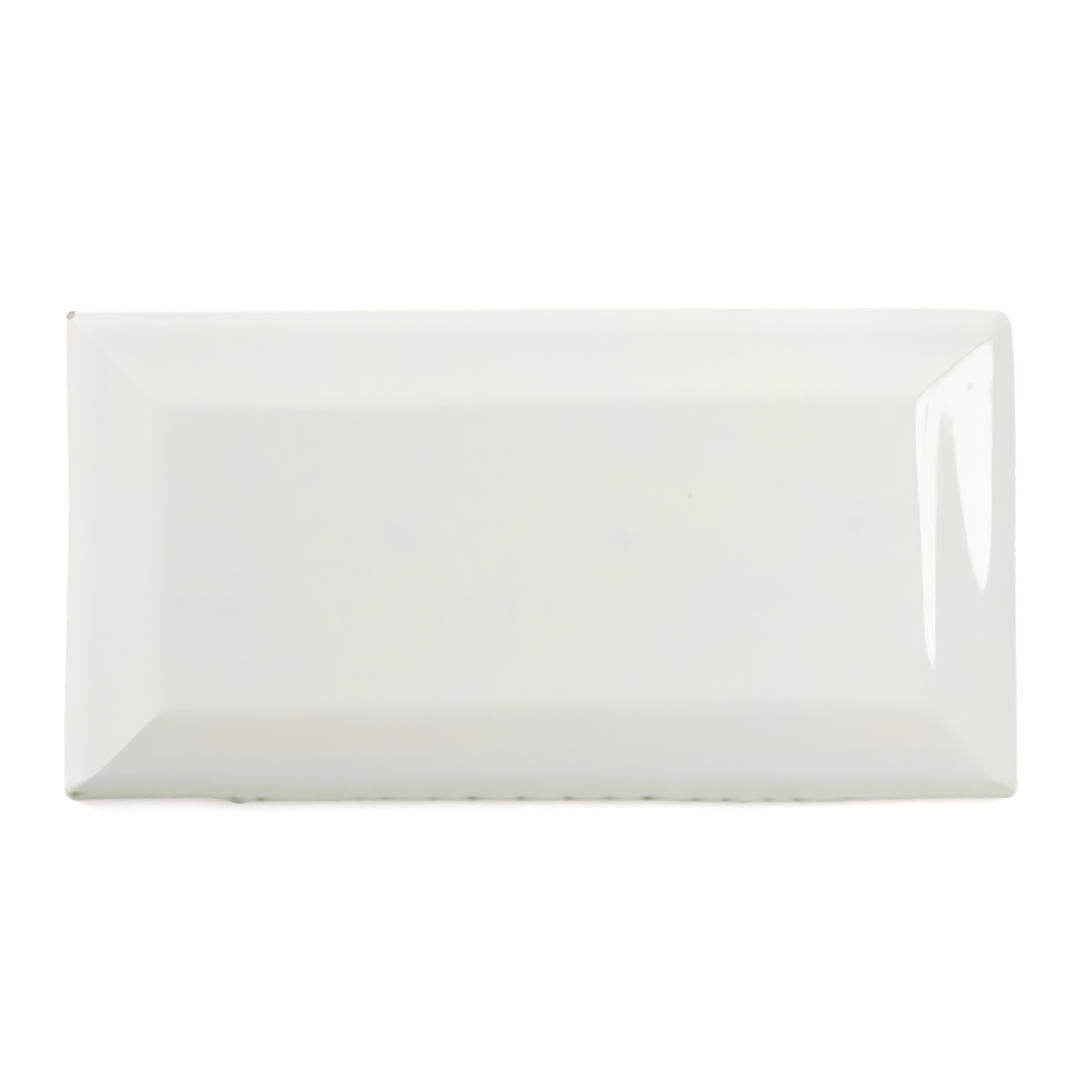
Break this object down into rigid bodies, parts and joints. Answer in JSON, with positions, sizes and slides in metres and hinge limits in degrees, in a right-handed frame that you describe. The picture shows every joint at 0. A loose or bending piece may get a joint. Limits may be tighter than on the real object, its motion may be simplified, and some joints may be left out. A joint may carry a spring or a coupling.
{
  "type": "beveled wall tile",
  "caption": "Rectangular glazed ceramic wall tile with a flat middle panel, mitred bevels on all sides, rounded edges and a grooved back for adhesive.",
  "frame": {"origin": "middle of the back, on the plane that the tile rests on", "axes": "+X along the long side, +Y along the short side, +Z out of the glazed face"},
  "size_m": [0.15, 0.078, 0.008],
  "materials": {
    "glazed_body": "gloss glaze, warm off-white, on a fired clay body"
  },
  "bodies": {
    "root": {"tile": "glazed_body"}
  },
  "joints": []
}
